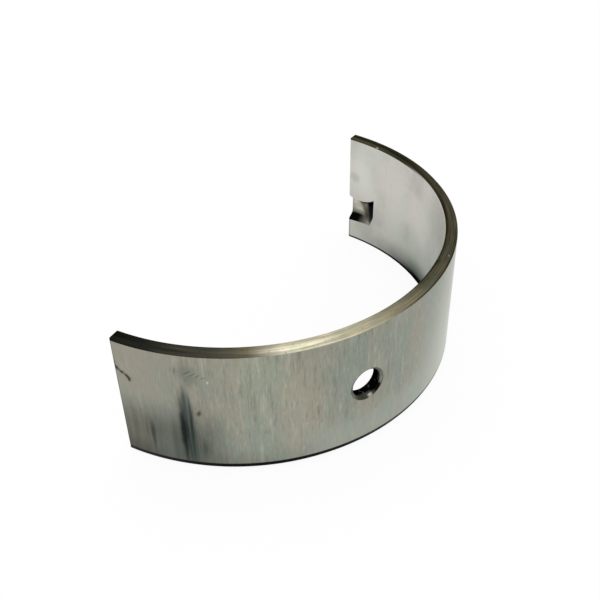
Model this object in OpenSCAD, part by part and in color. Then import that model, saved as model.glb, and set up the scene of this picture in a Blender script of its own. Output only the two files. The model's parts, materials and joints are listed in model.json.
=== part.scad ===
// Half of a split plain bearing for an engine crank journal.
// A lined steel strip is bent to a little less than a half round, chamfered on its edges,
// drilled for oil and pressed out at one end into a locating lug.
// The bearing axis is Z and the origin is on it at half width. The crown points to -Y,
// the joint faces look to +Y, and the shell stands on its lower edge. Sizes in millimetres.

/* [Shell] */
// Diameter across the back of the free shell
back_d = 72; // [50:0.5:120]
// Thickness of the wall, steel and lining together
wall = 2.15; // [1.2:0.05:4]
// Width of the shell along the bearing axis
width = 22.8; // [18:0.1:40]
// Angle that the free shell wraps around the journal
wrap = 173.2; // [150:0.1:180]

/* [Edges] */
// Chamfer of the back's edges, measured across the wall
back_chamfer_r = 0.5; // [0.05:0.05:0.55]
// Chamfer of the back's edges, measured along the axis
back_chamfer_z = 0.6; // [0.05:0.05:1.5]
// Chamfer of the bore's upper edge, measured across the wall
bore_chamfer_r = 0.4; // [0.05:0.05:0.6]
// Chamfer of the bore's upper edge, measured along the axis
bore_chamfer_z = 0.35; // [0.05:0.05:1.5]
// Chamfer of the bore's lower edge
bore_chamfer_low = 0.1; // [0.05:0.05:0.6]
// Chamfer between a joint face and the bore
joint_bore_chamfer = 0.3; // [0.05:0.05:0.5]
// Chamfer between a joint face and the back
joint_back_chamfer = 0.2; // [0.05:0.05:0.5]

/* [Oil hole] */
// Diameter of the oil hole
oil_hole_d = 4.9; // [2:0.1:8]
// Angle from the crown to the oil hole, towards the plain end
oil_hole_angle = 25.3; // [-45:0.1:60]
// Height of the oil hole above half width
oil_hole_rise = 0.4; // [-3:0.1:3]
// Chamfer of the oil hole at the back
oil_back_chamfer = 0.4; // [0.1:0.05:0.6]
// Chamfer of the oil hole at the bore
oil_bore_chamfer = 0.2; // [0.05:0.05:0.4]

/* [Locating lug] */
// Width of the lug and of its pocket along the axis, at the wall
lug_w = 6; // [4:0.1:8]
// Length of the lug and of its pocket from the joint face, at the wall
lug_l = 6.3; // [4:0.1:9]
// Height of the lug above the back
lug_h = 1.2; // [0.5:0.05:1.6]
// Depth of the pocket below the bore
pocket_depth = 1.7; // [0.5:0.05:1.8]
// Distance of the lug's middle below half width
lug_drop = 3.9; // [-5:0.1:5]
// Lean of the lug's and the pocket's side walls
side_draft = 31; // [5:1:40]
// Lean of the lug's end wall
lug_end_draft = 50; // [5:1:55]
// Lean of the pocket's end wall
pocket_end_draft = 55; // [5:1:58]
// Slant of the pocket's side walls to the edges of the shell
pocket_slant = 5.5; // [-10:0.5:10]
// How far the slope in the pocket's lower far corner reaches along the lower rim
corner_along = 0.8; // [0.5:0.1:2]
// How far the slope in the pocket's lower far corner reaches up the end rim
corner_up = 2.1; // [0.5:0.1:2.6]
// Lean of the slope in the pocket's lower far corner
corner_draft = 60; // [30:1:65]
// How far the pocket's upper rim sags at its lowest
rim_sag = 1; // [0.1:0.05:1.5]
// Radius of the sag in the pocket's upper rim
rim_sag_r = 5.5; // [4:0.1:10]
// Distance from the joint face to the lowest place of the sag
rim_sag_along = 2.9; // [2:0.1:4]

/* [Hidden] */
$fn = 180;
steel_grey = "#8e8f88";
back_r = back_d / 2;
bore_r = back_r - wall;
half_w = width / 2;
// How far a cutter reaches past the face that it opens
past = 1;

// Angle in degrees of an arc of the given length
function arc_angle(length, radius) = length / radius * 180 / PI;

// Turns +X to the radius at an angle from the crown, positive towards the lug end
module at_angle(angle) {
    rotate([0, 0, angle - 90]) children();
}

// Section of the strip, with the radius along X and the axis along Y
module strip_section() {
    polygon([
        [bore_r + bore_chamfer_low, -half_w],
        [back_r - back_chamfer_r, -half_w],
        [back_r, -half_w + back_chamfer_z],
        [back_r, half_w - back_chamfer_z],
        [back_r - back_chamfer_r, half_w],
        [bore_r + bore_chamfer_r, half_w],
        [bore_r, half_w - bore_chamfer_z],
        [bore_r, -half_w + bore_chamfer_low],
    ]);
}

module bent_strip() {
    at_angle(-wrap / 2) rotate_extrude(angle = wrap) strip_section();
}

// Cutters for both long edges of the joint face at the lug end
module joint_edge_cuts() {
    at_angle(wrap / 2) translate([0, 0, -half_w - past]) linear_extrude(width + 2 * past) {
        polygon([
            [bore_r + joint_bore_chamfer + past, past],
            [bore_r - past, past],
            [bore_r - past, -joint_bore_chamfer - past],
        ]);
        polygon([
            [back_r - joint_back_chamfer - past, past],
            [back_r + past, past],
            [back_r + past, -joint_back_chamfer - past],
        ]);
    }
}

// Drill for the oil hole, with a countersink at the back and one at the bore
module oil_drill() {
    hole_r = oil_hole_d / 2;
    at_angle(-oil_hole_angle) translate([0, 0, oil_hole_rise]) rotate([0, 90, 0]) {
        translate([0, 0, bore_r - wall]) cylinder(h = 3 * wall, r = hole_r);
        translate([0, 0, back_r - oil_back_chamfer])
            cylinder(h = oil_back_chamfer + past, r1 = hole_r, r2 = hole_r + oil_back_chamfer + past);
        translate([0, 0, bore_r - past])
            cylinder(h = oil_bore_chamfer + past, r1 = hole_r + oil_bore_chamfer + past, r2 = hole_r);
    }
}

// Drafted form at the lug end that stands on the cylinder base_r and rises outwards.
// Its walls run on below that cylinder by skirt, and past the joint face by overrun.
module pressed_form(base_r, rise, skirt, end_draft, overrun = 0, slant = 0) {
    sweep = arc_angle(lug_l, base_r);
    lead = arc_angle(skirt * tan(end_draft) + past, base_r);
    tail = arc_angle(overrun, base_r);
    foot_w = lug_w + 2 * skirt * tan(side_draft);
    top_w = lug_w - 2 * rise * tan(side_draft);
    difference() {
        at_angle(wrap / 2 - sweep / 2) translate([0, 0, -lug_drop]) rotate([-slant, 0, 0])
            rotate([0, 0, -sweep / 2 - lead]) rotate_extrude(angle = lead + sweep + tail) polygon([
                [base_r - skirt, -foot_w / 2],
                [base_r + rise, -top_w / 2],
                [base_r + rise, top_w / 2],
                [base_r - skirt, foot_w / 2],
            ]);
        at_angle(wrap / 2 - sweep) translate([base_r, 0, -lug_drop]) leaning_block(end_draft);
    }
}

// Block behind a face that passes through the origin and leans towards +Y as it goes out along X
module leaning_block(lean) {
    size = 4 * lug_l;
    rotate([0, 0, lean]) translate([-size / 2, -size, -size / 2]) cube(size);
}

// The lug on the back
module lug() {
    pressed_form(base_r = back_r, rise = lug_h, skirt = wall / 3, end_draft = lug_end_draft);
}

// Frame of the slanted pocket, at an angle from its middle that is positive towards the joint face
module in_pocket(angle) {
    at_angle(wrap / 2 - arc_angle(lug_l, bore_r) / 2) translate([0, 0, -lug_drop])
        rotate([-pocket_slant, 0, 0]) rotate([0, 0, angle]) children();
}

// Metal left in the pocket's lower far corner, as a slope
module corner_slope() {
    in_pocket(-arc_angle(lug_l, bore_r) / 2) translate([bore_r, corner_along / 2, (corner_up - lug_w) / 2])
        rotate([atan2(corner_along, corner_up), 0, 0]) leaning_block(corner_draft);
}

// Metal of the lining that sags into the pocket from its upper rim
module sagging_rim() {
    reach = pocket_depth + past;
    sag_r = rim_sag_r / cos(side_draft);
    in_pocket(arc_angle(lug_l / 2 - rim_sag_along, bore_r))
        translate([bore_r, 0, lug_w / 2 - rim_sag + sag_r / cos(side_draft)])
            rotate([0, 90 + side_draft, 0]) cylinder(h = 4 * reach, r = sag_r, center = true);
}

// The pocket in the bore, where the metal of the lug was pressed out
module lug_pocket() {
    difference() {
        pressed_form(base_r = bore_r, rise = pocket_depth, skirt = past, end_draft = pocket_end_draft,
            overrun = lug_l / 2, slant = pocket_slant);
        corner_slope();
        sagging_rim();
    }
}

module bearing_shell() {
    color(steel_grey) difference() {
        union() {
            difference() {
                bent_strip();
                for (side = [0, 1]) mirror([side, 0, 0]) joint_edge_cuts();
            }
            lug();
        }
        lug_pocket();
        oil_drill();
    }
}

bearing_shell();
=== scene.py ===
"""Looks of a half-round engine bearing shell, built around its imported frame.

The shell is one closed mesh: a strip section carried round the bearing axis, with the lug pressed
out at one end, the oil hole drilled through and every edge broken. Lengths in this script are
millimetres, and angles are radians from the crown, positive towards the lug end. A place on the
strip is an arc along the back from the crown, and a height above half width.
"""
import json
import math
from typing import NamedTuple

import bpy
import numpy as np
from mathutils import Matrix, Vector


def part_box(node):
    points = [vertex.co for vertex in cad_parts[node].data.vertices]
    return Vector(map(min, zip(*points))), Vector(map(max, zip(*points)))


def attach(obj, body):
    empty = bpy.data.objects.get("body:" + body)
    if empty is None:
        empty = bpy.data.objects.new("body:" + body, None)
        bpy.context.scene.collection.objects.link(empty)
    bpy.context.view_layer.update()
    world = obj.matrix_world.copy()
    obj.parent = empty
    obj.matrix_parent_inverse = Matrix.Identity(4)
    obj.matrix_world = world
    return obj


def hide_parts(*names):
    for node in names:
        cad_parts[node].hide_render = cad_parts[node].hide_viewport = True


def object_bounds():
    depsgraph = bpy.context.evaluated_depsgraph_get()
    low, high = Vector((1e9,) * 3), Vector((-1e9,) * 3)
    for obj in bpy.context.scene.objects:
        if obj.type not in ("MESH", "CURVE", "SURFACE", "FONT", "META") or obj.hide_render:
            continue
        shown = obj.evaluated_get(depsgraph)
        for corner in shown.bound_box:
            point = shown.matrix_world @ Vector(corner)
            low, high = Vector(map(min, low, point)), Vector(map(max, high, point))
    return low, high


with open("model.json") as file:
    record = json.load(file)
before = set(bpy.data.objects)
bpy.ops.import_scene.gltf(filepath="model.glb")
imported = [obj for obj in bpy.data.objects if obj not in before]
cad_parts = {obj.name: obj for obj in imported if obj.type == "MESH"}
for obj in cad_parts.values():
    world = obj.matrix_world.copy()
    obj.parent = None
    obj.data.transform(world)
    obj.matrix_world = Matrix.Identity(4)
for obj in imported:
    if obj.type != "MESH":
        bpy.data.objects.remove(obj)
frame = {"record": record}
CAD_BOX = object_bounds()

MM = 0.001
NODE = "bearing_shell"

# Sizes that the frame gives
MOUNTS = {mount["name"]: mount for mount in frame["record"]["mounts"]}
BORE_R = MOUNTS["journal"]["dims"]["r_mm"]
BACK_R = -MOUNTS["housing_seat"]["pos_m"][1] / MM
HALF_W = -MOUNTS["lower_edge"]["pos_m"][2] / MM
HALF_WRAP = math.acos(MOUNTS["joint_face_lug_end"]["axis"][0])
HOLE_R = MOUNTS["oil_hole"]["dims"]["r_mm"]
HOLE_ANGLE = math.atan2(MOUNTS["oil_hole"]["axis"][0], -MOUNTS["oil_hole"]["axis"][1])
HOLE_Z = MOUNTS["oil_hole"]["pos_m"][2] / MM
LUG_Z = MOUNTS["locating_lug"]["pos_m"][2] / MM
LUG_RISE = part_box(NODE)[1].x / MM / math.sin(HALF_WRAP) - BACK_R
ARC = 2 * HALF_WRAP * BACK_R
ARC_LEFT = -ARC / 2
ARC_RIGHT = ARC / 2
HOLE_ARC = HOLE_ANGLE * BACK_R

# Edges of the strip
BACK_CHAMFER_R = 0.5
BACK_CHAMFER_Z = 0.6
BORE_CHAMFER_R = 0.4
BORE_CHAMFER_Z = 0.35
BORE_CHAMFER_LOW = 0.1
JOINT_BORE_CHAMFER = 0.3
JOINT_BACK_CHAMFER = 0.2
JOINT_EDGE_CHAMFER = 0.25
BACK_RIM_R = BACK_R - BACK_CHAMFER_R
BORE_RIM_R = BORE_R + BORE_CHAMFER_R
BACK_LOW = -HALF_W + BACK_CHAMFER_Z
EDGE_BREAK = 0.06
ARC_STEPS = 4

# Oil hole
HOLE_BACK_CHAMFER = 0.4
HOLE_BORE_CHAMFER = 0.2
HOLE_MOUTH_R = HOLE_R + HOLE_BACK_CHAMFER
HOLE_LIP = 0.05
HOLE_PATCH = 4.6
HOLE_RINGS = 7
HOLE_RING_EASE = 1.4
HOLE_WALL_RINGS = 5
LIP_TRIES = 8
CONE_SHARES = (0.15, 0.5, 0.9)

# Lug, and the pocket behind it
LUG_W = 6.0
LUG_L = 6.3
POCKET_DEPTH = 1.7
SIDE_DRAFT = math.radians(31)
LUG_END_DRAFT = math.radians(50)
POCKET_END_DRAFT = math.radians(55)
POCKET_SLANT = math.radians(5.5)
CREASE_ALONG = 1.85
CREASE_UP = 1.25
CREASE_TURN = math.radians(29.4)
CREASE_RISE = 0.12
CREASE_ROUND = 0.5
CORNER_ALONG = 0.8
CORNER_UP = 2.1
CORNER_DRAFT = math.radians(60)
SAG = 1.0
SAG_R = 5.5
SAG_ALONG = 2.9
LUG_ROUND = 0.22
FOOT_ROUND = 0.15
FLOOR_ROUND = 0.35
WALL_ROUND = 0.12
MOUTH_ROUND = 0.1
SLANT_FADE = 3.0

# Steps of the mesh
COARSE = 0.42
FINE = 0.16
MEDIUM = 1.5 * FINE
FINE_FROM = 1.15 * LUG_L
FINE_TO = 0.65 * LUG_L
WALL_REACH = 1.2 * POCKET_DEPTH * math.tan(SIDE_DRAFT)
ROW_MARGIN = 1.0
FLAT_PARTS = 5
CHAMFER_PARTS = 3
SHARP_ANGLE = math.radians(38)

# Materials, in the order of the mesh's slots
BACK, LINING, EDGE, JOINT, HOLE, COUNTERSINK, POCKET = range(7)

# How far a noise moves along each of its axes for a shift of 1
NOISE_SHIFT = (1.0, 2.7, 5.1)

# Marks on the back
SMEAR_ARC = -43.6
SCRATCH_PATH = ((-54.5, 7.8), (-54.2, 6.4), (-53.5, 5.6), (-52.7, 5.3), (-51.75, 4.5))
SCRATCH_OVERLAP = 0.3
FAN_ARC = -43.7
FAN_HEIGHT = 7.2
FAN_SCRATCHES = 7

# Marks at the oil hole
HOLE_BLACK_SPOT = (HOLE_ARC + 1.9, HOLE_Z - 1.6)
HOLE_NICK = (HOLE_ARC + 0.6, HOLE_Z - 2.65)
LIP_GAP = (HOLE_ARC + 0.7, HOLE_Z - 2.8)

# Floor and light; a lamp has a name, an azimuth, an elevation and a spread in degrees, and a level
FLOOR = 3000
FLOOR_GAP = 0.02
FLOOR_COLOUR = (0.95, 0.95, 0.95, 1)
FLOOR_WHITE_SHARE = 0.92
WORLD_LEVEL = 1.0
LAMPS = (
    ("key", -20, 40, 25, 0.25),
    ("rear", 150, 55, 50, 0.15),
    ("side", 65, 28, 40, 0.15),
)

# Camera, at the photograph's viewing angle
CAMERA_AZIMUTH = math.radians(-57.56)
CAMERA_ELEVATION = math.radians(37.54)
CAMERA_ROLL = math.radians(-1.30)
CAMERA_DISTANCE = 143.91
CAMERA_TARGET = (-2.63, -12.85, 0)
CAMERA_LENS = 51.30
CAMERA_NEAR = 5
SENSOR = 36


class Nick(NamedTuple):
    """A small nick in a rim of the strip: its angle in degrees, its rim, its depth and its width."""

    degrees: float
    rim_r: float
    rim_z: float
    depth: float
    width: float


class Smear(NamedTuple):
    """A smear of oil on the back: a soft oval that threads comb out, and that left_side may cut off."""

    arc: float
    height: float
    half: tuple
    soft: float
    comb: tuple
    shade: tuple
    left_side: tuple = ()


class EdgeBand(NamedTuple):
    """A band of the edges: windows of the angle in degrees and of the radius, and what it multiplies."""

    turns: tuple
    radii: tuple
    factors: tuple


NICKS = (
    Nick(75.6, BORE_RIM_R, HALF_W, depth=0.12, width=0.5),
    Nick(7.7, BORE_RIM_R, HALF_W, depth=0.12, width=0.7),
    Nick(-31, BACK_RIM_R, HALF_W, depth=0.1, width=0.6),
    Nick(-58, BORE_RIM_R, HALF_W, depth=0.1, width=0.8),
    Nick(41, BACK_RIM_R, -HALF_W, depth=0.12, width=0.7),
)


def smooth_max(a, b, width):
    return 0.5 * (a + b + np.sqrt((a - b) ** 2 + width ** 2))


def smooth_min(a, b, width):
    return 0.5 * (a + b - np.sqrt((a - b) ** 2 + width ** 2))


def spaced(start, *stops):
    """Places from start through each stop, which is a place and the step that leads to it."""
    places = [start]
    for place, step in stops:
        parts = max(1, round((place - places[-1]) / step))
        places.extend(np.linspace(places[-1], place, parts + 1)[1:])
    return np.array(places)


def column_angles():
    """Angles of the mesh's columns, closer together at the joint faces and the lug."""
    joint = sorted((JOINT_EDGE_CHAMFER, JOINT_BACK_CHAMFER, JOINT_BORE_CHAMFER))
    stops = [(place, FINE) for place in joint]
    stops += [(ARC - FINE_FROM, COARSE), (ARC - FINE_TO, FINE)]
    stops += [(ARC - place, MEDIUM) for place in reversed(joint)]
    stops += [(ARC, FINE)]
    return spaced(0, *stops) / BACK_R - HALF_WRAP


def row_heights():
    """Heights of the rows that the back and the bore share, closer together at the lug."""
    lug_low = LUG_Z - LUG_W / 2
    lug_high = LUG_Z + LUG_W / 2
    return spaced(
        -HALF_W + ROW_MARGIN,
        (lug_low - FINE, COARSE),
        (lug_low + WALL_REACH, FINE),
        (lug_high - WALL_REACH - SAG, MEDIUM),
        (lug_high + FINE, FINE),
        (HALF_W - ROW_MARGIN, COARSE),
    )


def rounded(before, corner, after):
    """Points of a small arc that breaks a corner between two neighbours."""
    before, corner, after = map(np.array, (before, corner, after))
    first = corner + EDGE_BREAK * (before - corner) / np.linalg.norm(before - corner)
    last = corner + EDGE_BREAK * (after - corner) / np.linalg.norm(after - corner)
    steps = np.linspace(0, 1, ARC_STEPS)
    return [(1 - t) ** 2 * first + 2 * t * (1 - t) * corner + t ** 2 * last for t in steps]


def strip_section(rows):
    """Points (radius, height) round the section, and the surface that starts at each."""
    corners = [
        (BORE_R + BORE_CHAMFER_LOW, -HALF_W),
        (BACK_RIM_R, -HALF_W),
        (BACK_R, BACK_LOW),
        (BACK_R, HALF_W - BACK_CHAMFER_Z),
        (BACK_RIM_R, HALF_W),
        (BORE_RIM_R, HALF_W),
        (BORE_R, HALF_W - BORE_CHAMFER_Z),
        (BORE_R, -HALF_W + BORE_CHAMFER_LOW),
    ]
    surfaces = [EDGE, EDGE, BACK, EDGE, EDGE, EDGE, LINING, EDGE]
    corner_surfaces = [EDGE, EDGE, EDGE, BACK, EDGE, EDGE, EDGE, EDGE]
    parts = [FLAT_PARTS, CHAMFER_PARTS, 0, CHAMFER_PARTS, FLAT_PARTS, CHAMFER_PARTS, 0, CHAMFER_PARTS]
    points = []
    tags = []
    for at, corner in enumerate(corners):
        after = corners[(at + 1) % len(corners)]
        arc = rounded(corners[at - 1], corner, after)
        next_arc = rounded(corner, after, corners[(at + 2) % len(corners)])
        points += arc
        tags += [corner_surfaces[at]] * (len(arc) - 1) + [surfaces[at]]
        if parts[at] == 0:
            heights = rows if surfaces[at] == BACK else rows[::-1]
            between = [np.array((corner[0], height)) for height in heights]
        else:
            shares = np.linspace(0, 1, parts[at] + 1)[1:-1]
            between = [arc[-1] + share * (next_arc[0] - arc[-1]) for share in shares]
        points += between
        tags += [surfaces[at]] * len(between)
    return np.array(points), np.array(tags)


def drafted_walls(along, up, end_draft):
    """Heights of a pressed form's side walls and end wall, from the joint face and its middle."""
    sides = (LUG_W / 2 - np.abs(up)) / math.tan(SIDE_DRAFT)
    end = (LUG_L - along) / math.tan(end_draft)
    return sides, end


def lug_height(along, up):
    sides, end = drafted_walls(along, up, LUG_END_DRAFT)
    return smooth_min(smooth_min(sides, end, LUG_ROUND), LUG_RISE, LUG_ROUND)


def sagging_rim(along, up):
    """Depth of the wall where the lining sags into the pocket from its upper rim."""
    half_l = SAG_R / math.cos(SIDE_DRAFT)
    half_w = half_l / math.cos(SIDE_DRAFT)
    rise = half_w * (1 - np.sqrt(np.maximum(1 - ((along - SAG_ALONG) / half_l) ** 2, 0)))
    return (LUG_W / 2 - SAG + rise - up) / math.tan(SIDE_DRAFT)


def corner_slope(along, up):
    """Depth of the slope in the pocket's lower far corner."""
    from_end = LUG_L - along
    from_low = up + LUG_W / 2
    clear = from_end * CORNER_UP + from_low * CORNER_ALONG - CORNER_ALONG * CORNER_UP
    return clear / math.hypot(CORNER_ALONG, CORNER_UP) / math.tan(CORNER_DRAFT)


def pocket_walls(along, up):
    return (*drafted_walls(along, up, POCKET_END_DRAFT), sagging_rim(along, up), corner_slope(along, up))


def pocket_depth(along, up):
    """Depth of the pocket, whose floor rises a little past a slanting crease."""
    past = (along - CREASE_ALONG) * math.cos(CREASE_TURN) + (up - CREASE_UP) * math.sin(CREASE_TURN)
    floor = POCKET_DEPTH - CREASE_RISE * smooth_max(past, 0, CREASE_ROUND)
    sides, end, sag, slope = pocket_walls(along, up)
    floor = smooth_min(floor, slope, CREASE_ROUND)
    walls = smooth_min(smooth_min(sides, sag, WALL_ROUND), end, WALL_ROUND)
    return smooth_min(walls, floor, FLOOR_ROUND)


def pocket_slant(along, height):
    """How far points of the bore move up so that the pocket slants, fading out away from it."""
    near = np.clip((LUG_W / 2 + SLANT_FADE - np.abs(height - LUG_Z)) / SLANT_FADE, 0, 1)
    fade = np.clip((2 * LUG_L - along) / LUG_L, 0, 1)
    reach = np.clip(along, 0, 2 * LUG_L)
    return (reach - LUG_L / 2) * math.tan(POCKET_SLANT) * fade * near


def bore_slot(along, up):
    """Slot of a face of the bore, by where its middle is."""
    return POCKET if min(pocket_walls(along, up)) > MOUTH_ROUND / 2 else LINING


def nick_edges(radius, height, turn):
    """Presses small nicks into the rims of the strip."""
    for nick in NICKS:
        along = (turn - math.radians(nick.degrees)) * nick.rim_r / nick.width
        across = np.hypot(radius - nick.rim_r, height - nick.rim_z) / (2 * nick.depth)
        dent = nick.depth * np.exp(-along ** 2 - across ** 2)
        height = height - math.copysign(1, nick.rim_z) * dent
    return height


def bounds_surface(tags, surface):
    """Marks the rows of the section where a surface starts or ends."""
    return ((tags == surface) | (np.roll(tags, 1) == surface))[:, None]


def shell_points(section, tags, angles):
    """Points of the strip round the axis, with the lug, the pocket and the joint chamfers."""
    radius = np.repeat(section[:, :1], len(angles), axis=1)
    height = np.repeat(section[:, 1:], len(angles), axis=1)
    turn = np.repeat(angles[None, :], len(section), axis=0)
    outer = radius > (BACK_R + BORE_R) / 2
    to_joint = (HALF_WRAP - np.abs(turn)) * radius
    along = (HALF_WRAP - turn) * radius

    limit = HALF_W - JOINT_EDGE_CHAMFER + to_joint
    height = np.clip(height, -limit, limit)
    plain_back = np.minimum(radius, BACK_R - JOINT_BACK_CHAMFER + to_joint)
    plain_bore = np.maximum(radius, BORE_R + JOINT_BORE_CHAMFER - to_joint)

    lug = BACK_R + lug_height(along, height - LUG_Z)
    lug -= np.maximum(0, JOINT_EDGE_CHAMFER - to_joint)
    pocket = BORE_R + pocket_depth(along, height - LUG_Z)
    on_back = bounds_surface(tags, BACK) & (turn > 0)
    on_bore = bounds_surface(tags, LINING) & (turn > 0)
    radius = np.where(outer, plain_back, plain_bore)
    radius = np.where(on_back, smooth_max(plain_back, lug, FOOT_ROUND), radius)
    radius = np.where(on_bore, smooth_max(plain_bore, pocket, MOUTH_ROUND), radius)
    height = np.where(on_bore, height + pocket_slant(along, height), height)
    height = nick_edges(radius, height, turn)
    return np.stack([radius * np.sin(turn), -radius * np.cos(turn), height], axis=-1)


class MeshBuilder:
    """Points and faces of one mesh, gathered patch by patch."""

    def __init__(self):
        self.points = []
        self.faces = []
        self.slots = []

    def add_points(self, points):
        start = len(self.points)
        self.points.extend(map(tuple, points))
        return np.arange(start, len(self.points))

    def add_face(self, corners, slot):
        self.faces.append([int(corner) for corner in corners])
        self.slots.append(slot)

    def join_rings(self, rings, slots):
        """Quads between closed rings of as many points, each ring and the next in a slot."""
        for first, second, slot in zip(rings, rings[1:], slots):
            for corners in zip(first, np.roll(first, -1), np.roll(second, -1), second):
                self.add_face(corners, slot)

    def to_mesh(self, name):
        """The mesh of all faces and of the points that they use."""
        used = sorted({corner for face in self.faces for corner in face})
        place_of = {old: new for new, old in enumerate(used)}
        faces = [[place_of[corner] for corner in face] for face in self.faces]
        points = np.array([self.points[old] for old in used])
        mesh = bpy.data.meshes.new(name)
        mesh.from_pydata((points * MM).tolist(), [], faces)
        mesh.polygons.foreach_set("material_index", self.slots)
        mesh.shade_smooth()
        mesh.set_sharp_from_angle(angle=SHARP_ANGLE)
        add_place(mesh, points)
        return mesh


def add_place(mesh, points):
    """Keeps each point's place on the strip: arc from the crown, height and radius."""
    arc = np.arctan2(points[:, 0], -points[:, 1]) * BACK_R
    place = np.stack([arc, points[:, 2], np.hypot(points[:, 0], points[:, 1])], axis=-1)
    layer = mesh.attributes.new("place", "FLOAT_VECTOR", "POINT")
    layer.data.foreach_set("vector", place.astype(np.float32).ravel())


def hole_point(ring_r, phi, depth_r):
    """Points on a ring round the hole's axis, at a distance from the bearing axis along it."""
    across = ring_r * np.cos(phi)
    up = HOLE_Z + ring_r * np.sin(phi)
    x = depth_r * math.sin(HOLE_ANGLE) + across * math.cos(HOLE_ANGLE)
    y = -depth_r * math.cos(HOLE_ANGLE) + across * math.sin(HOLE_ANGLE)
    return np.stack([x, y, up], axis=-1)


def from_hole(builder, outline):
    """How far the points of an outline are across and up from the hole's axis."""
    points = np.array([builder.points[at] for at in outline])
    across = points[:, 0] * math.cos(HOLE_ANGLE) + points[:, 1] * math.sin(HOLE_ANGLE)
    return across, points[:, 2] - HOLE_Z


def on_cylinder(radius, across):
    return np.sqrt(radius ** 2 - across ** 2)


def lip_radius(surface_r, floor_r, phi, way):
    """Where the hole's countersink, from floor_r on its axis, meets a cylinder of the shell."""
    ring = np.full_like(phi, HOLE_R)
    for _ in range(LIP_TRIES):
        ring = HOLE_R + way * (on_cylinder(surface_r, ring * np.cos(phi)) - floor_r)
    return ring


def surface_rings(builder, outline, surface_r, inner_r, phi):
    """Rings on a cylinder of the shell, from the square outline in to a ring round the hole."""
    across, up = from_hole(builder, outline)
    rings = [outline]
    for share in np.linspace(0, 1, HOLE_RINGS + 1)[1:]:
        eased = 1 - (1 - share) ** HOLE_RING_EASE
        ring_across = across + eased * (inner_r * np.cos(phi) - across)
        ring_up = up + eased * (inner_r * np.sin(phi) - up)
        reach = np.hypot(ring_across, ring_up)
        bearing = np.arctan2(ring_up, ring_across)
        rings.append(builder.add_points(hole_point(reach, bearing, on_cylinder(surface_r, ring_across))))
    return rings


def wall_rings(builder, phi, back_lip, back_floor, bore_lip, bore_floor):
    """Rings down the hole: its countersink at the back, its wall, and its chamfer at the bore."""
    stations = []
    for share in CONE_SHARES:
        ring = back_lip + share * (HOLE_R - back_lip)
        stations.append((ring, back_floor + ring - HOLE_R))
    for depth in np.linspace(back_floor - HOLE_LIP, bore_floor + HOLE_LIP, HOLE_WALL_RINGS):
        stations.append((np.full_like(phi, HOLE_R), depth))
    for share in reversed(CONE_SHARES):
        ring = bore_lip + share * (HOLE_R - bore_lip)
        stations.append((ring, bore_floor - ring + HOLE_R))
    return [builder.add_points(hole_point(ring, phi, depth)) for ring, depth in stations]


def drill_hole(builder, back_outline, bore_outline):
    """Patches round the oil hole on both sides of the wall, and the hole's own surface."""
    across, up = from_hole(builder, back_outline)
    phi = np.arctan2(up, across)
    back_floor = BACK_R - HOLE_BACK_CHAMFER
    bore_floor = BORE_R + HOLE_BORE_CHAMFER
    back_lip = lip_radius(BACK_R, back_floor, phi, 1)
    bore_lip = lip_radius(BORE_R, bore_floor, phi, -1)

    back_rings = surface_rings(builder, back_outline, BACK_R, back_lip + HOLE_LIP, phi)
    bore_rings = surface_rings(builder, bore_outline, BORE_R, bore_lip + HOLE_LIP, phi)
    inner_rings = wall_rings(builder, phi, back_lip, back_floor, bore_lip, bore_floor)
    cone = [COUNTERSINK] * len(CONE_SHARES)
    builder.join_rings(back_rings, [BACK] * HOLE_RINGS)
    builder.join_rings(
        [back_rings[-1]] + inner_rings + [bore_rings[-1]],
        cone + [HOLE] * (HOLE_WALL_RINGS + 1) + cone,
    )
    builder.join_rings(bore_rings[::-1], [LINING] * HOLE_RINGS)


def block_outline(grid, columns, rows):
    """Points round a block of the grid, in order."""
    left, right = columns[0], columns[-1]
    low, high = rows[0], rows[-1]
    outline = [grid[low, at] for at in columns[:-1]]
    outline += [grid[at, right] for at in rows[:-1]]
    outline += [grid[high, at] for at in columns[:0:-1]]
    outline += [grid[at, left] for at in rows[:0:-1]]
    return outline


def strip_faces(builder, grid, section, tags, angles, closed):
    """Quads of the strip wherever the grid is closed."""
    for row, column in np.argwhere(closed):
        after = (row + 1) % len(section)
        slot = int(tags[row])
        if slot == LINING:
            along = (HALF_WRAP - angles[column:column + 2].mean()) * BORE_R
            slot = bore_slot(along, section[row:row + 2, 1].mean() - LUG_Z)
        corners = (grid[row, column], grid[row, column + 1], grid[after, column + 1], grid[after, column])
        builder.add_face(corners, slot)


def shell_mesh():
    """The whole shell as one closed mesh, with a slot for each kind of surface."""
    angles = column_angles()
    section, tags = strip_section(row_heights())
    points = shell_points(section, tags, angles)
    builder = MeshBuilder()
    grid = builder.add_points(points.reshape(-1, 3)).reshape(points.shape[:2])

    columns = np.flatnonzero(np.abs(angles - HOLE_ANGLE) * BACK_R <= HOLE_PATCH)
    in_patch = np.abs(section[:, 1] - HOLE_Z) <= HOLE_PATCH
    back_rows = np.flatnonzero(in_patch & (tags == BACK))
    bore_rows = np.flatnonzero(in_patch & (tags == LINING))[::-1]
    closed = np.ones((len(section), len(angles) - 1), bool)
    for rows in (back_rows, bore_rows):
        closed[min(rows):max(rows), columns[0]:columns[-1]] = False

    strip_faces(builder, grid, section, tags, angles, closed)
    builder.add_face(grid[:, 0], JOINT)
    builder.add_face(grid[::-1, -1], JOINT)
    drill_hole(builder, block_outline(grid, columns, back_rows), block_outline(grid, columns, bore_rows))
    return builder.to_mesh("shell_surface")


def colour(red, green, blue):
    """Linear colour of a screen colour given in 0 to 255."""
    def linear(level):
        share = level / 255
        return share / 12.92 if share <= 0.04045 else ((share + 0.055) / 1.055) ** 2.4
    return (linear(red), linear(green), linear(blue), 1)


# Shades that more than one mark has: black for painted contact shadow at the foot, and dark oil
SHADOW_BLACK = colour(5, 5, 4)
OIL_DARK = colour(44, 53, 51)


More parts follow.
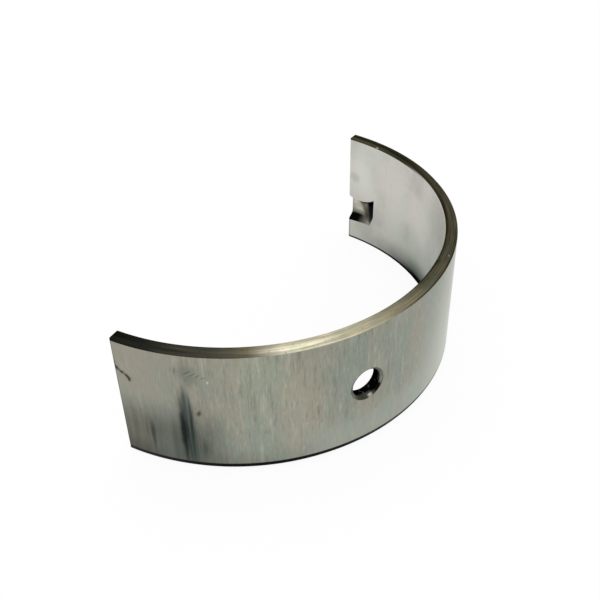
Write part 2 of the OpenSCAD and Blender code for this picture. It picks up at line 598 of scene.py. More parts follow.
class Surface:
    """A material, with short calls that add nodes to it."""

    def __init__(self, name, **shader_values):
        self.material = bpy.data.materials.new(name)
        self.material.use_nodes = True
        self.tree = self.material.node_tree
        self.shader = self.tree.nodes["Principled BSDF"]
        self.set_shader(**shader_values)

    def set_shader(self, **values):
        """Sets or links sockets of the shader, named with _ for a space."""
        for name, value in values.items():
            self.feed(self.shader.inputs[name.replace("_", " ")], value)

    def add(self, kind, inputs=(), **settings):
        node = self.tree.nodes.new(kind)
        for name, value in settings.items():
            setattr(node, name, value)
        for key, value in dict(inputs).items():
            self.feed(node.inputs[key], value)
        return node

    def feed(self, socket, value):
        if isinstance(value, bpy.types.NodeSocket):
            self.tree.links.new(value, socket)
        else:
            socket.default_value = value

    def calc(self, operation, first, second):
        return self.add("ShaderNodeMath", {0: first, 1: second}, operation=operation).outputs[0]


class Look(Surface):
    """A metal that takes its colours from the place on the strip."""

    def __init__(self, name, **shader_values):
        super().__init__(name, Metallic=1, **shader_values)
        self.place = self.add("ShaderNodeAttribute", attribute_name="place").outputs["Vector"]
        parts = self.add("ShaderNodeSeparateXYZ", {0: self.place})
        self.arc, self.height, self.radius = parts.outputs

    def finish(self, tone, **shader_values):
        """Joins the colour and what else is given to the shader."""
        self.set_shader(Base_Color=tone, **shader_values)
        return self.material

    def vector(self, operation, first, second):
        return self.add("ShaderNodeVectorMath", {0: first, 1: second}, operation=operation).outputs[0]

    def noise_node(self, around, up, detail=2.0, roughness=0.5, shift=0.0, through=0.0):
        spread = self.vector("MULTIPLY", self.place, (around, up, through))
        moved = self.vector("ADD", spread, [shift * part for part in NOISE_SHIFT])
        inputs = {"Vector": moved, "Scale": 1.0, "Detail": detail, "Roughness": roughness}
        return self.add("ShaderNodeTexNoise", inputs)

    def noise(self, around, up, **settings):
        """Noise with so many cells to the millimetre round the shell and up it, from 0 to 1."""
        return self.noise_node(around, up, **settings).outputs["Fac"]

    def wander(self, cells, reach, shift=0.0):
        """The place on the strip, moved about by up to reach, so that marks get ragged rims."""
        drift = self.noise_node(cells, cells, detail=3.0, roughness=0.6, shift=shift).outputs["Color"]
        centred = self.vector("SUBTRACT", drift, (0.5, 0.5, 0.5))
        moved = self.vector("MULTIPLY", centred, (2 * reach, 2 * reach, 0))
        return self.vector("ADD", self.place, moved)

    def remap(self, value, low, high, to_low=0.0, to_high=1.0):
        """The value eased from one range to another, and held at its ends."""
        inputs = {"Value": value, "From Min": low, "From Max": high, "To Min": to_low, "To Max": to_high}
        return self.add("ShaderNodeMapRange", inputs, interpolation_type="SMOOTHSTEP").outputs["Result"]

    def both(self, *shares):
        """Product of several shares."""
        total = shares[0]
        for share in shares[1:]:
            total = self.calc("MULTIPLY", total, share)
        return total

    def window(self, value, start, full, fall=None, end=None):
        """Eases from 0 at start to 1 at full, and where an end is given, from 1 at fall to 0 there."""
        rise = self.remap(value, start, full)
        return rise if end is None else self.both(rise, self.remap(value, end, fall))

    def mix(self, share, first, second, way="MIX"):
        node = self.add("ShaderNodeMix", data_type="RGBA", blend_type=way)
        sockets = [socket for socket in node.inputs if socket.type == "RGBA"]
        self.feed(node.inputs["Factor"], share)
        self.feed(sockets[0], first)
        self.feed(sockets[1], second)
        return [socket for socket in node.outputs if socket.type == "RGBA"][0]

    def paint(self, tone, mask, shade, share=1.0):
        """The tone with a share of a shade laid over it, where the mask is 1."""
        cover = mask if share == 1 else self.calc("MULTIPLY", mask, share)
        return self.mix(cover, tone, shade)

    def tint(self, tone, mask, factors):
        """The tone with its red, green and blue multiplied, where the mask is 1."""
        return self.mix(mask, tone, (*factors, 1), "MULTIPLY")

    def reach(self, arc, height, half_arc=1.0, half_height=1.0, at=None, lean=0.0):
        """Distance from a spot on the strip, in units of an oval that may lean to one side."""
        away = self.vector("SUBTRACT", at or self.place, (arc, height, 0))
        if lean:
            turn = {"Vector": away, "Axis": (0, 0, 1), "Angle": lean}
            away = self.add("ShaderNodeVectorRotate", turn, rotation_type="AXIS_ANGLE").outputs[0]
        scaled = self.vector("MULTIPLY", away, (1 / half_arc, 1 / half_height, 0))
        return self.add("ShaderNodeVectorMath", {0: scaled}, operation="LENGTH").outputs["Value"]

    def patch(self, arc, height, half_arc, half_height, soft=0.7, at=None, lean=0.0):
        """A soft oval on the strip: 1 inside, fading to 0 at its rim."""
        return self.remap(self.reach(arc, height, half_arc, half_height, at, lean), 1.0, 1.0 - soft)

    def ramp(self, value, low, high, *stops):
        """Colours along a value that runs from low to high: each stop is a value and a colour."""
        node = self.add("ShaderNodeValToRGB")
        inputs = {"Value": value, "From Min": low, "From Max": high}
        self.feed(node.inputs[0], self.add("ShaderNodeMapRange", inputs).outputs["Result"])
        steps = node.color_ramp.elements
        while len(steps) < len(stops):
            steps.new(1.0)
        for step, (at, tone) in zip(steps, stops):
            step.position = (at - low) / (high - low)
            step.color = tone
        return node.outputs["Color"]

    def bump(self, height, distance, strength):
        inputs = {"Height": height, "Distance": distance * MM, "Strength": strength}
        return self.add("ShaderNodeBump", inputs).outputs["Normal"]


def steel_tone(look, streak, fine):
    """Mottled grey of brushed steel: clouds of green, beige, rose and blue grey under axial streaks."""
    clouds = look.noise(0.2, 0.06, detail=3, shift=3)
    rose = look.noise(0.3, 0.11, detail=2, shift=11)
    blue = look.noise(0.3, 0.12, detail=2, shift=23)
    tone = look.mix(look.remap(clouds, 0.38, 0.6), colour(141, 148, 136), colour(152, 149, 135))
    layers = (
        (rose, 0.52, 0.7, 0.55, colour(151, 143, 136)),
        (blue, 0.55, 0.72, 0.3, colour(143, 149, 144)),
        (streak, 0.5, 0.74, 0.55, colour(178, 178, 164)),
        (streak, 0.48, 0.26, 0.55, colour(110, 112, 101)),
        (fine, 0.55, 0.75, 0.45, colour(184, 185, 174)),
        (fine, 0.45, 0.28, 0.45, colour(113, 114, 104)),
    )
    for noise, start, full, share, shade in layers:
        tone = look.mix(look.remap(noise, start, full, 0, share), tone, shade)
    return tone


def steel_regions(look, tone):
    """Wide changes of the back's grey: a painted reflection of the bright floor to the right, pale and
    warm to the left, and a cool painted floor reflection below.
    """
    # Painted reflection of the bright floor towards the right
    slanted = look.calc("SUBTRACT", look.arc, look.calc("MULTIPLY", look.height, 0.35))
    floor_reflection = look.both(look.remap(slanted, -8, 14), look.remap(look.arc, 17, 30, 0.66, 0.2))
    tone = look.paint(tone, floor_reflection, colour(209, 216, 206))
    tone = look.tint(tone, look.patch(-30, 1, 11, 16, soft=0.9), (1.17, 1.16, 1.13))
    tone = look.tint(tone, look.patch(-34, 9, 9, 6, soft=0.9), (1.12, 1.1, 1.06))
    # Painted reflection of the bright floor low down, cooler in tone
    low_floor_reflection = look.both(look.window(look.arc, -32, -22, -6, 6), look.remap(look.height, -3, -7.5))
    tone = look.paint(tone, low_floor_reflection, colour(164, 174, 164), 0.45)
    warm = look.both(look.remap(look.arc, -42, -48), look.remap(look.height, -2, 3))
    return look.paint(tone, warm, colour(157, 151, 139), 0.55)


def oil_washes_and_shade(look, tone):
    """Thin washes of oil towards the plain end of the back, and along its foot a darkening that is partly
    oil and partly painted shade.
    """
    runs = look.noise(0.9, 0.05, detail=3, roughness=0.55, shift=31)
    left = look.remap(look.arc, -35, -43)
    end = look.remap(look.arc, ARC_LEFT, ARC_LEFT + 6, 0.9, 1.0)
    low = look.remap(look.height, 3, -5)
    wash = look.mix(look.remap(look.arc, -52, -48), colour(86, 82, 70), colour(80, 87, 79))
    tone = look.paint(tone, look.both(left, end, low, look.remap(runs, 0.3, 0.7, 0.72, 0.95)), wash)
    # Darker along the foot: partly oil, partly painted shade reflected from the floor
    foot = look.both(look.remap(look.height, -6.3, -10.8), look.remap(look.arc, -18, -42))
    return look.paint(tone, look.both(foot, look.remap(runs, 0.3, 0.7, 0.35, 0.6)), colour(88, 94, 86))


def oil_smears(look, tone):
    """Smears of oil on the back, drawn out along the axis."""
    threads = look.noise(2.4, 0.05, detail=3, roughness=0.55, shift=37)
    drawn = look.wander(0.45, 0.35, shift=2)
    cut_left = (SMEAR_ARC - 1.7, SMEAR_ARC - 1.1)
    smears = (
        Smear(ARC_LEFT + 1.5, -HALF_W, (6.5, 5.5), 0.9, (0.35, 0.6, 0.5, 0.8), colour(64, 64, 55)),
        Smear(SMEAR_ARC + 0.1, -3.4, (1.9, 9.2), 0.7, (0.36, 0.6, 0.2, 0.95), OIL_DARK, cut_left),
        Smear(SMEAR_ARC + 0.7, -2.6, (0.6, 7.4), 0.85, (0.35, 0.6, 0.35, 0.9), OIL_DARK),
        Smear(SMEAR_ARC, 1.8, (1.4, 4.8), 0.8, (0.36, 0.6, 0.3, 0.9), colour(70, 82, 79)),
        Smear(SMEAR_ARC + 2.2, -7.0, (2.2, 2.8), 0.9, (0.4, 0.6, 0.2, 0.8), colour(74, 80, 73)),
        Smear(SMEAR_ARC, -8.0, (2.6, 6.5), 0.9, (0.3, 0.6, 0.35, 0.75), colour(56, 68, 62)),
        Smear(SMEAR_ARC - 0.6, -4.2, (0.75, 7.6), 0.85, (0.3, 0.55, 0.55, 0.97), colour(22, 29, 27)),
    )
    for smear in smears:
        mask = look.patch(smear.arc, smear.height, *smear.half, soft=smear.soft, at=drawn)
        if smear.left_side:
            mask = look.both(mask, look.window(look.arc, *smear.left_side))
        tone = look.paint(tone, look.both(mask, look.remap(threads, *smear.comb)), smear.shade)
    streak = look.patch(SMEAR_ARC - 5.7, -5.6, 0.6, 4.2, soft=0.85, at=drawn)
    tone = look.paint(tone, streak, colour(54, 61, 55), 0.8)
    comma = look.patch(SMEAR_ARC + 1.95, 0.15, 0.5, 0.95, soft=0.9, lean=0.3)
    return look.paint(tone, comma, colour(56, 60, 54), 0.85)


def scratch(look, tone, start, end, width, shade, share=1.0):
    """A tapered scratch from one spot of the strip to another."""
    middle = ((start[0] + end[0]) / 2, (start[1] + end[1]) / 2)
    run = (end[0] - start[0], end[1] - start[1])
    ragged = look.wander(1.6, 0.1, shift=start[0])
    lean = -math.atan2(run[1], run[0])
    mark = look.patch(*middle, math.hypot(*run) / 2, width, soft=0.9, at=ragged, lean=lean)
    return look.paint(tone, mark, shade, share)


def deep_scratch(look, tone):
    """A deep bent scratch at the plain end, with painted shade along its sides and a hook at its foot."""
    for start, end in zip(SCRATCH_PATH, SCRATCH_PATH[1:]):
        overlap = [SCRATCH_OVERLAP * (last - first) for first, last in zip(start, end)]
        start = [place - more for place, more in zip(start, overlap)]
        end = [place + more for place, more in zip(end, overlap)]
        # Painted shade along both sides of the scratch, under its dark groove
        tone = scratch(look, tone, start, end, 0.75, colour(112, 107, 95), 0.75)
        tone = scratch(look, tone, start, end, 0.36, colour(40, 38, 32))
    foot_arc, foot_height = SCRATCH_PATH[-1]
    hook = look.patch(foot_arc - 0.25, foot_height - 0.15, 0.42, 0.6, soft=0.8)
    return look.paint(tone, hook, colour(46, 45, 39), 0.85)


def faint_scratches(look, tone):
    """A fan of faint scratches in a dull green patch, with a single one and a bright speck beside it."""
    dull = look.patch(FAN_ARC + 1, FAN_HEIGHT + 0.2, 2.4, 3.3, soft=0.9, at=look.wander(0.5, 0.5, shift=8))
    tone = look.paint(tone, dull, colour(107, 116, 107), 0.65)
    shades = (colour(82, 88, 79), colour(148, 150, 138))
    for step in range(FAN_SCRATCHES):
        drift = 0.1 * math.sin(5 * step)
        low_end = (FAN_ARC + 0.46 * step + drift, FAN_HEIGHT - 0.05 * step)
        high_end = (FAN_ARC + 1.9 + 0.3 * step - drift, FAN_HEIGHT + 1.35 - 0.18 * step + drift)
        tone = scratch(look, tone, low_end, high_end, 0.24, shades[step % 2], 0.5)
    high_end = (FAN_ARC - 0.7, FAN_HEIGHT + 1.9)
    low_end = (FAN_ARC - 0.9, FAN_HEIGHT - 0.2)
    tone = scratch(look, tone, high_end, low_end, 0.16, colour(92, 89, 80), 0.8)
    speck = look.patch(FAN_ARC + 3.8, FAN_HEIGHT - 0.9, 0.26, 0.46, soft=0.9)
    return look.paint(tone, speck, colour(212, 209, 198), 0.7)


def back_rims(look, tone):
    """Dark rims of the back: at the plain end, round the oil hole up to its nick, and a painted black
    contact shadow at the foot.
    """
    end = look.remap(look.arc, ARC_LEFT + 0.45, ARC_LEFT + 0.1)
    tone = look.paint(tone, end, colour(58, 56, 50), 0.75)
    lip = look.remap(look.reach(HOLE_ARC, HOLE_Z), HOLE_MOUTH_R + 0.2, HOLE_MOUTH_R + 0.01)
    lip = look.both(lip, look.remap(look.reach(*LIP_GAP), 0.3, 0.8))
    tone = look.paint(tone, lip, colour(54, 55, 47), 0.8)
    # Painted black contact shadow along the foot, taller towards the plain end
    rise = look.calc("SUBTRACT", look.height, look.remap(look.arc, 20, -26, 0.05, 0.52))
    return look.paint(tone, look.remap(rise, BACK_LOW + 0.22, BACK_LOW + 0.04), SHADOW_BLACK)


def back_steel():
    """Grey steel of the back, brushed along the axis, stained and scratched at the plain end."""
    look = Look("back_steel")
    streak = look.noise(1.5, 0.16, detail=4, roughness=0.62, shift=5)
    fine = look.noise(3.6, 0.6, detail=3, roughness=0.6, shift=8)
    tone = steel_tone(look, streak, fine)
    for layer in (steel_regions, oil_washes_and_shade, oil_smears, deep_scratch, faint_scratches, back_rims):
        tone = layer(look, tone)
    roughness = look.remap(streak, 0.3, 0.7, 0.34, 0.46)
    return look.finish(tone, Roughness=roughness, Normal=look.bump(fine, 0.012, 0.6))


def lining_tone(look, clouds, fine):
    """Pale grey of the lining: painted shade towards the crown, brighter at the lug end."""
    green = look.noise(0.2, 0.1, detail=3, shift=14)
    tone = look.mix(look.remap(green, 0.4, 0.62), colour(209, 205, 198), colour(205, 207, 198))
    tone = look.mix(look.remap(clouds, 0.5, 0.72, 0, 0.5), tone, colour(180, 183, 175))
    tone = look.mix(look.remap(fine, 0.5, 0.75, 0, 0.25), tone, colour(174, 174, 167))
    # Painted shade towards the crown, stronger lower down
    crown = look.both(look.remap(look.arc, 36, 14), look.remap(look.height, 10, 4, 0.5, 1.0))
    tone = look.paint(tone, crown, colour(146, 150, 140), 0.6)
    bright = look.patch(ARC_RIGHT - 4, 5, 5.5, 9, soft=0.9)
    return look.paint(tone, bright, colour(222, 222, 214), 0.55)


def lining_shade(look, tone, ragged):
    """Painted shade that deepens downwards and towards the crown, black as contact shadow near the lower
    edge, and a mask of where it is deepest.
    """
    ragged_height = look.add("ShaderNodeSeparateXYZ", {0: ragged}).outputs[1]
    # Painted shade in layers: a wide low one, a darker one at the foot, and a black contact shadow just
    # above the lower edge
    low_shade = look.both(look.remap(ragged_height, 4, -9.5), look.remap(look.arc, 50, 22, 0.3, 1.0))
    tone = look.paint(tone, low_shade, colour(104, 119, 107), 0.9)
    foot = look.both(look.remap(ragged_height, -6, -11), look.remap(look.arc, 58, 28))
    tone = look.paint(tone, foot, colour(46, 51, 46), 0.85)
    black = look.both(look.remap(look.height, -9.4, -10.5), look.remap(look.arc, 46, 28))
    tone = look.paint(tone, black, colour(12, 14, 13), 0.9)
    return tone, look.calc("MAXIMUM", look.calc("MULTIPLY", foot, 0.6), black)


def lining_marks(look, tone, ragged):
    """Green stains by the pocket, and a grey one at the joint face below it."""
    greens = ((ARC_RIGHT - 2.6, LUG_Z - 4.4, 2.6, 1.1), (ARC_RIGHT - 1.6, 3.2, 2.0, 1.6))
    for oval in greens:
        tone = look.paint(tone, look.patch(*oval, soft=0.9, at=ragged), colour(172, 178, 160), 0.6)
    joint = look.both(
        look.remap(look.arc, ARC_RIGHT - 0.75, ARC_RIGHT - 0.3),
        look.remap(look.height, -5.5, -7),
    )
    return look.paint(tone, joint, colour(120, 122, 116), 0.6)


def lining_metal():
    """Pale satin running surface, with painted shade along its lower edge towards the crown and a painted
    black contact shadow on its lowest rim.
    """
    look = Look("lining_metal")
    clouds = look.noise(0.14, 0.13, detail=4, shift=2)
    fine = look.noise(1.6, 0.7, detail=4, roughness=0.6, shift=9)
    ragged = look.wander(0.25, 0.8, shift=6)
    tone, deep_shade = lining_shade(look, lining_tone(look, clouds, fine), ragged)
    tone = lining_marks(look, tone, ragged)
    # Painted black contact shadow along the lowest rim, taller towards the crown
    rise = look.calc("SUBTRACT", look.height, look.remap(look.arc, 52, 24, 0.1, 0.5))
    rim = look.remap(rise, -HALF_W + 0.45, -HALF_W + 0.25)
    tone = look.paint(tone, rim, colour(14, 15, 13))
    # Where shade and shadow are painted, the specular tint is darker too
    shade_and_shadow = look.calc("MAXIMUM", deep_shade, rim)
    look.set_shader(Specular_Tint=look.mix(shade_and_shadow, (1, 1, 1, 1), colour(40, 42, 40)))
    roughness = look.remap(clouds, 0.3, 0.7, 0.36, 0.46)
    return look.finish(tone, Roughness=roughness, Normal=look.bump(fine, 0.006, 0.5))


def edge_tone_and_sheen(look, turn):
    """Colours round the edges: a painted dark reflection at the plain end, a painted highlight from about
    -46 to -30 degrees, then brown with old oil.
    """
    half = math.degrees(HALF_WRAP)
    # Painted dark reflection towards the plain end, and a painted highlight from about -46 to -30 degrees
    return look.ramp(
        turn, -half, half,
        (-half, colour(27, 27, 26)),
        (-76, colour(43, 44, 40)),
        (-62, colour(72, 71, 62)),
        (-54, colour(100, 95, 80)),
        (-46, colour(192, 186, 166)),
        (-30, colour(188, 182, 159)),
        (-18, colour(140, 135, 115)),
        (-4, colour(90, 88, 73)),
        (12, colour(84, 82, 72)),
        (40, colour(84, 81, 70)),
        (66, colour(70, 67, 54)),
        (half, colour(70, 67, 53)),
    )


def apply_bands(look, tone, turn, *wears):
    for wear in wears:
        mask = look.both(look.window(turn, *wear.turns), look.window(look.radius, *wear.radii))
        tone = look.tint(tone, mask, wear.factors)
    return tone


def edge_sheen_and_shade(look, tone, turn):
    """Painted light and shade of the upper edge: a painted highlight on the flat, painted shade on the
    inner side and the middle, and painted reflections on the outer rims.
    """
    flat = (BORE_R + 0.9, BACK_R - 0.7, BACK_R - 0.42, BACK_R - 0.2)
    middle = (BORE_R + 0.4, BORE_R + 0.7, BORE_R + 1.1, BORE_R + 1.5)
    # In order: painted highlight on the flat, painted shade on the inner side and the middle, painted
    # reflections on the outer rims
    return apply_bands(
        look, tone, turn,
        EdgeBand((-58, -48, -40, -30), flat, (1.6, 1.6, 1.64)),
        EdgeBand((-25, 35, 56, 76), (BORE_R + 0.9, BORE_R + 0.4), (0.5, 0.49, 0.46)),
        EdgeBand((52, 64), middle, (0.5, 0.5, 0.46)),
        EdgeBand((6, 26, 48, 64), (BACK_R - 0.7, BACK_R - 0.3), (1.9, 1.88, 1.8)),
        EdgeBand((56, 68), (BACK_R - 0.9, BACK_R - 0.4), (1.6, 1.6, 1.55)),
    )


def edge_grain(look, tone, lines):
    """Turning lines, patches of brown and green, and dark specks."""
    patches = look.noise(0.3, 0.0, detail=3, roughness=0.6, shift=12, through=1.1)
    specks = look.noise(2.2, 0.0, detail=2, shift=27, through=3.2)
    tone = look.tint(tone, look.remap(lines, 0.5, 0.3), (0.55, 0.54, 0.49))
    tone = look.tint(tone, look.remap(lines, 0.52, 0.72), (1.42, 1.41, 1.36))
    tone = look.tint(tone, look.remap(patches, 0.5, 0.68), (1.2, 1.13, 1.01))
    tone = look.tint(tone, look.remap(patches, 0.48, 0.3), (0.84, 0.9, 0.81))
    return look.tint(tone, look.remap(specks, 0.62, 0.74, 0, 0.6), (0.5, 0.49, 0.43))


def edge_marks(look, tone, turn):
    """Bright chips, a dark seam along the back's rim and a painted highlight along the bore's rim."""
    rim_place = look.add("ShaderNodeCombineXYZ", {0: look.arc, 1: look.radius}).outputs[0]
    for degrees, radius, length in ((75.6, BORE_R + 0.15, 0.5), (10.2, BACK_RIM_R, 0.2)):
        chip = look.patch(math.radians(degrees) * BACK_R, radius, length, 0.2, at=rim_place)
        tone = look.paint(tone, chip, colour(186, 182, 168), 0.65)
    seam = EdgeBand((-20, -8, 28, 40), (BACK_R - 0.3, BACK_R - 0.12), (0.45, 0.45, 0.4))
    tone = apply_bands(look, tone, turn, seam)
    # Painted highlight along the bore's rim
    pale = look.both(look.window(turn, 5, 14, 48, 64), look.remap(look.radius, BORE_R + 0.2, BORE_R + 0.1))
    return look.paint(tone, pale, colour(214, 215, 206), 0.9)


def edge_metal():
    """Turned edges of the strip, with painted highlight and shade, and a lower edge painted dark as shade
    and black towards the back as contact shadow.
    """
    look = Look("edge_metal", Roughness=0.45, Specular_Tint=colour(120, 116, 104))
    around = look.add("ShaderNodeTangent", direction_type="RADIAL", axis="Z").outputs[0]
    look.set_shader(Anisotropic=0.7, Anisotropic_Rotation=0.25, Tangent=around)
    turn = look.calc("MULTIPLY", look.arc, math.degrees(1) / BACK_R)
    lines = look.noise(0.12, 0.0, detail=4, roughness=0.6, shift=4, through=7)
    tone = edge_sheen_and_shade(look, edge_tone_and_sheen(look, turn), turn)
    tone = edge_marks(look, edge_grain(look, tone, lines), turn)
    # Painted shade on the lower edge, which faces the floor, and painted black contact shadow on its rim
    # at the back
    lower = look.remap(look.height, 1, -1)
    tone = look.paint(tone, lower, colour(40, 38, 31))
    foot = look.both(lower, look.remap(look.radius, BACK_R - 1.0, BACK_RIM_R))
    tone = look.paint(tone, foot, SHADOW_BLACK)
    return look.finish(tone, Normal=look.bump(lines, 0.01, 0.4))


def joint_metal():
    """Broached joint faces."""
    look = Look("joint_metal", Roughness=0.36)
    lines = look.noise(0.3, 5, detail=3, shift=4, through=0.4)
    stain = look.noise(0.3, 0.3, detail=3, shift=19, through=0.6)
    tone = look.mix(look.remap(lines, 0.3, 0.7), colour(140, 138, 126), colour(176, 174, 162))
    tone = look.mix(look.remap(stain, 0.5, 0.72, 0, 0.6), tone, colour(96, 92, 78))
    return look.finish(tone, Normal=look.bump(lines, 0.012, 0.7))


def hole_metal():
    """Wall of the oil hole painted near black as shade deep in the hole, with a few rubbed specks, and
    greyer at the mouth where the painted shade lifts.
    """
    look = Look("hole_metal", Roughness=0.5, Specular_Tint=colour(90, 90, 84))
    stain = look.noise(1.3, 1.3, detail=3, shift=6, through=1.3)
    # Painted shade: near black, as deep in the hole
    tone = look.mix(look.remap(stain, 0.56, 0.72), colour(7, 7, 6), colour(70, 70, 62))
    # The painted shade lifts to grey at the mouth, except by the black spot at its foot
    mouth = look.remap(look.radius, BACK_R - 0.9, BACK_R - 0.5)
    mouth = look.both(mouth, look.remap(look.reach(*HOLE_BLACK_SPOT), 0.9, 1.5))
    tone = look.paint(tone, mouth, colour(98, 100, 92), 0.7)
    return look.finish(tone, Normal=look.bump(stain, 0.05, 0.4))


def countersink_metal():
    """Countersink of the oil hole: grey, olive and black at its foot, and nicked there."""
    look = Look("countersink_metal", Roughness=0.45)
    stain = look.noise(1.2, 1.2, detail=3, shift=16, through=0.9)
    tone = look.mix(look.remap(stain, 0.35, 0.65), colour(108, 111, 102), colour(134, 137, 127))
    top = look.patch(HOLE_ARC + 0.4, HOLE_Z + 2.7, 1.5, 0.9, soft=0.8)
    tone = look.paint(tone, top, colour(54, 56, 49), 0.7)
    tone = look.paint(tone, look.remap(look.height, HOLE_Z - 1.3, HOLE_Z - 2.3), colour(60, 59, 44))
    # A black spot at the foot of the countersink
    tone = look.paint(tone, look.patch(*HOLE_BLACK_SPOT, 1.1, 1.0, soft=0.5), colour(14, 14, 12))
    tone = look.paint(tone, look.patch(*HOLE_NICK, 0.6, 0.75, soft=0.8), colour(146, 148, 138))
    at_bore = look.remap(look.radius, BORE_R + 0.9, BORE_R + 0.4)
    return look.finish(look.paint(tone, at_bore, colour(204, 205, 197)))


def pocket_place(look):
    """Where a point is in the slanted pocket: from the joint face, up from its middle, and its depth."""
    along = look.calc("MULTIPLY", look.calc("SUBTRACT", ARC_RIGHT, look.arc), BORE_R / BACK_R)
    shear = look.calc("MULTIPLY", look.calc("SUBTRACT", along, LUG_L / 2), math.tan(POCKET_SLANT))
    up = look.calc("SUBTRACT", look.calc("SUBTRACT", look.height, LUG_Z), shear)
    return along, up, look.calc("SUBTRACT", look.radius, BORE_R)


def pocket_floor(look, along, up, stain):
    """Floor of the pocket, in painted light and shade: bright by the joint face, shaded brown past the
    crease, and shaded low down, greyer at its foot.
    """
    past_along = look.calc("MULTIPLY", look.calc("SUBTRACT", along, CREASE_ALONG), math.cos(CREASE_TURN))
    past_up = look.calc("MULTIPLY", look.calc("SUBTRACT", up, CREASE_UP), math.sin(CREASE_TURN))
    # Painted light and shade across the crease: lit before it, shaded brown past it, then a painted bluish
    # reflection
    tone = look.ramp(
        look.calc("ADD", past_along, past_up), -3, 3,
        (-2.6, colour(146, 145, 134)),
        (-1.4, colour(198, 196, 182)),
        (-0.45, colour(194, 189, 176)),
        (-0.05, colour(116, 108, 95)),
        (0.7, colour(104, 99, 88)),
        (1.3, colour(140, 143, 142)),
    )
    tone = look.mix(look.remap(stain, 0.4, 0.65, 0, 0.35), tone, colour(150, 146, 130))
    # Painted shade low in the pocket, lighter and greyer towards its lower far corner
    low = look.remap(up, -0.7, -2.0)
    tone = look.paint(tone, low, colour(88, 90, 84), 0.85)
    return look.paint(tone, look.both(low, look.remap(along, 3.3, 4.9)), colour(146, 138, 129))


def pocket_wall_shade(look, tone, along, up, depth):
    """Painted shadow on the pocket's lower side wall and painted shade on its end wall."""
    side_wall = look.calc("MULTIPLY", look.calc("ADD", up, LUG_W / 2), 1 / math.tan(SIDE_DRAFT))
    # Painted black shadow on the lower side wall, towards the joint face
    on_side = look.remap(look.calc("SUBTRACT", side_wall, depth), 0.5, 0.15)
    tone = look.paint(tone, look.both(on_side, look.remap(along, 4.5, 1.8)), colour(8, 10, 8))
    end_wall = look.calc("MULTIPLY", look.calc("SUBTRACT", LUG_L, along), 1 / math.tan(POCKET_END_DRAFT))
    # Painted shade on the end wall, darkest towards its top
    on_end = look.remap(look.calc("SUBTRACT", end_wall, depth), 0.75, 0.3)
    shade = look.mix(look.remap(up, 0.4, 1.8), colour(52, 58, 58), colour(10, 12, 11))
    return look.paint(tone, on_end, shade)


def pocket_metal():
    """Pressed pocket: a floor between walls, in painted light and shade."""
    look = Look("pocket_metal", Roughness=0.4, Specular_Tint=colour(120, 118, 112))
    stain = look.noise(0.9, 0.9, detail=3, shift=7)
    along, up, depth = pocket_place(look)
    tone = pocket_wall_shade(look, pocket_floor(look, along, up, stain), along, up, depth)
    return look.finish(tone, Normal=look.bump(stain, 0.05, 0.4))


def make_shell():
    mesh = shell_mesh()
    makers = (
        back_steel,
        lining_metal,
        edge_metal,
        joint_metal,
        hole_metal,
        countersink_metal,
        pocket_metal,
    )
    for maker in makers:
        mesh.materials.append(maker())
    shell = bpy.data.objects.new("shell", mesh)
    bpy.context.scene.collection.objects.link(shell)
    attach(shell, "root")
    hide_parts(NODE)


def direction(azimuth, elevation):
    """Unit vector towards a viewer or a lamp at an azimuth and an elevation."""
    flat = math.cos(elevation)
    return Vector((math.sin(azimuth) * flat, -math.cos(azimuth) * flat, math.sin(elevation)))


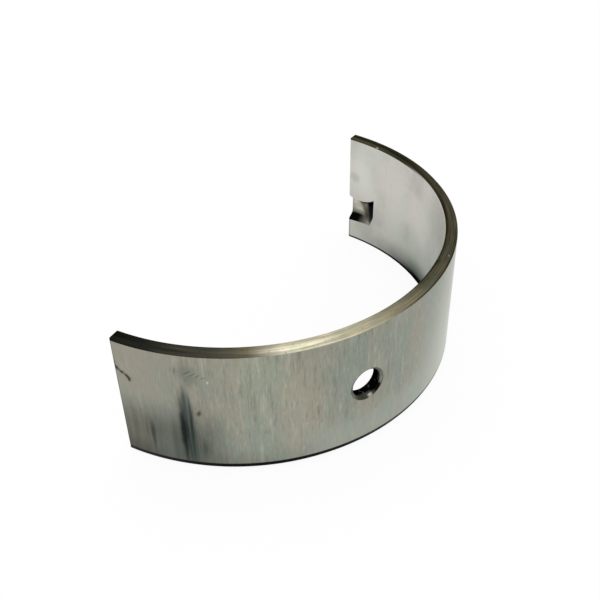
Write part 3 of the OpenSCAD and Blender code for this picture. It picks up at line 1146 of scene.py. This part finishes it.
def make_camera():
    back = direction(CAMERA_AZIMUTH, CAMERA_ELEVATION)
    right = (-back).cross(Vector((0, 0, 1))).normalized()
    up = right.cross(-back)
    rolled_right = math.cos(CAMERA_ROLL) * right + math.sin(CAMERA_ROLL) * up
    rolled_up = math.cos(CAMERA_ROLL) * up - math.sin(CAMERA_ROLL) * right
    turn = Matrix((rolled_right, rolled_up, back)).transposed().to_4x4()
    spot = (Vector(CAMERA_TARGET) + CAMERA_DISTANCE * back) * MM
    data = bpy.data.cameras.new("camera")
    data.lens = CAMERA_LENS
    data.sensor_width = SENSOR
    data.clip_start = CAMERA_NEAR * MM
    camera = bpy.data.objects.new("camera", data)
    camera.matrix_world = Matrix.Translation(spot) @ turn
    bpy.context.scene.collection.objects.link(camera)
    bpy.context.scene.camera = camera


def floor_material():
    """White floor that keeps a faint shadow: partly lit, and partly white wherever it is seen."""
    floor = Surface("floor_white", Base_Color=FLOOR_COLOUR, Roughness=1, Specular_IOR_Level=0)
    rays = floor.add("ShaderNodeLightPath").outputs
    seen = rays["Is Camera Ray"]
    for ray in ("Is Glossy Ray", "Is Transmission Ray"):
        seen = floor.calc("MAXIMUM", seen, rays[ray])
    share = floor.calc("MULTIPLY", seen, FLOOR_WHITE_SHARE)
    white = floor.add("ShaderNodeEmission").outputs[0]
    blend = floor.add("ShaderNodeMixShader", {0: share, 1: floor.shader.outputs[0], 2: white})
    floor.feed(floor.tree.nodes["Material Output"].inputs["Surface"], blend.outputs[0])
    return floor.material


def make_floor():
    """A wide pale floor just under the lower edge."""
    low = CAD_BOX[0].z - FLOOR_GAP * MM
    half = FLOOR * MM
    corners = [(-half, -half, low), (half, -half, low), (half, half, low), (-half, half, low)]
    mesh = bpy.data.meshes.new("floor")
    mesh.from_pydata(corners, [], [(0, 1, 2, 3)])
    mesh.materials.append(floor_material())
    floor = bpy.data.objects.new("floor", mesh)
    bpy.context.scene.collection.objects.link(floor)


def make_world():
    world = bpy.data.worlds.new("studio")
    world.use_nodes = True
    background = world.node_tree.nodes["Background"]
    background.inputs["Color"].default_value = (1, 1, 1, 1)
    background.inputs["Strength"].default_value = WORLD_LEVEL
    bpy.context.scene.world = world


def make_lamp(name, azimuth, elevation, spread, level):
    """A soft lamp far away: its spread is the angle that it fills, in degrees."""
    data = bpy.data.lights.new(name, "SUN")
    data.angle = math.radians(spread)
    data.energy = level
    towards = direction(math.radians(azimuth), math.radians(elevation))
    lamp = bpy.data.objects.new(name, data)
    lamp.rotation_euler = towards.to_track_quat("Z", "Y").to_euler()
    lamp.location = towards
    bpy.context.scene.collection.objects.link(lamp)


make_shell()
make_floor()
make_world()
for lamp_values in LAMPS:
    make_lamp(*lamp_values)
make_camera()
bpy.context.scene.view_settings.view_transform = "Standard"
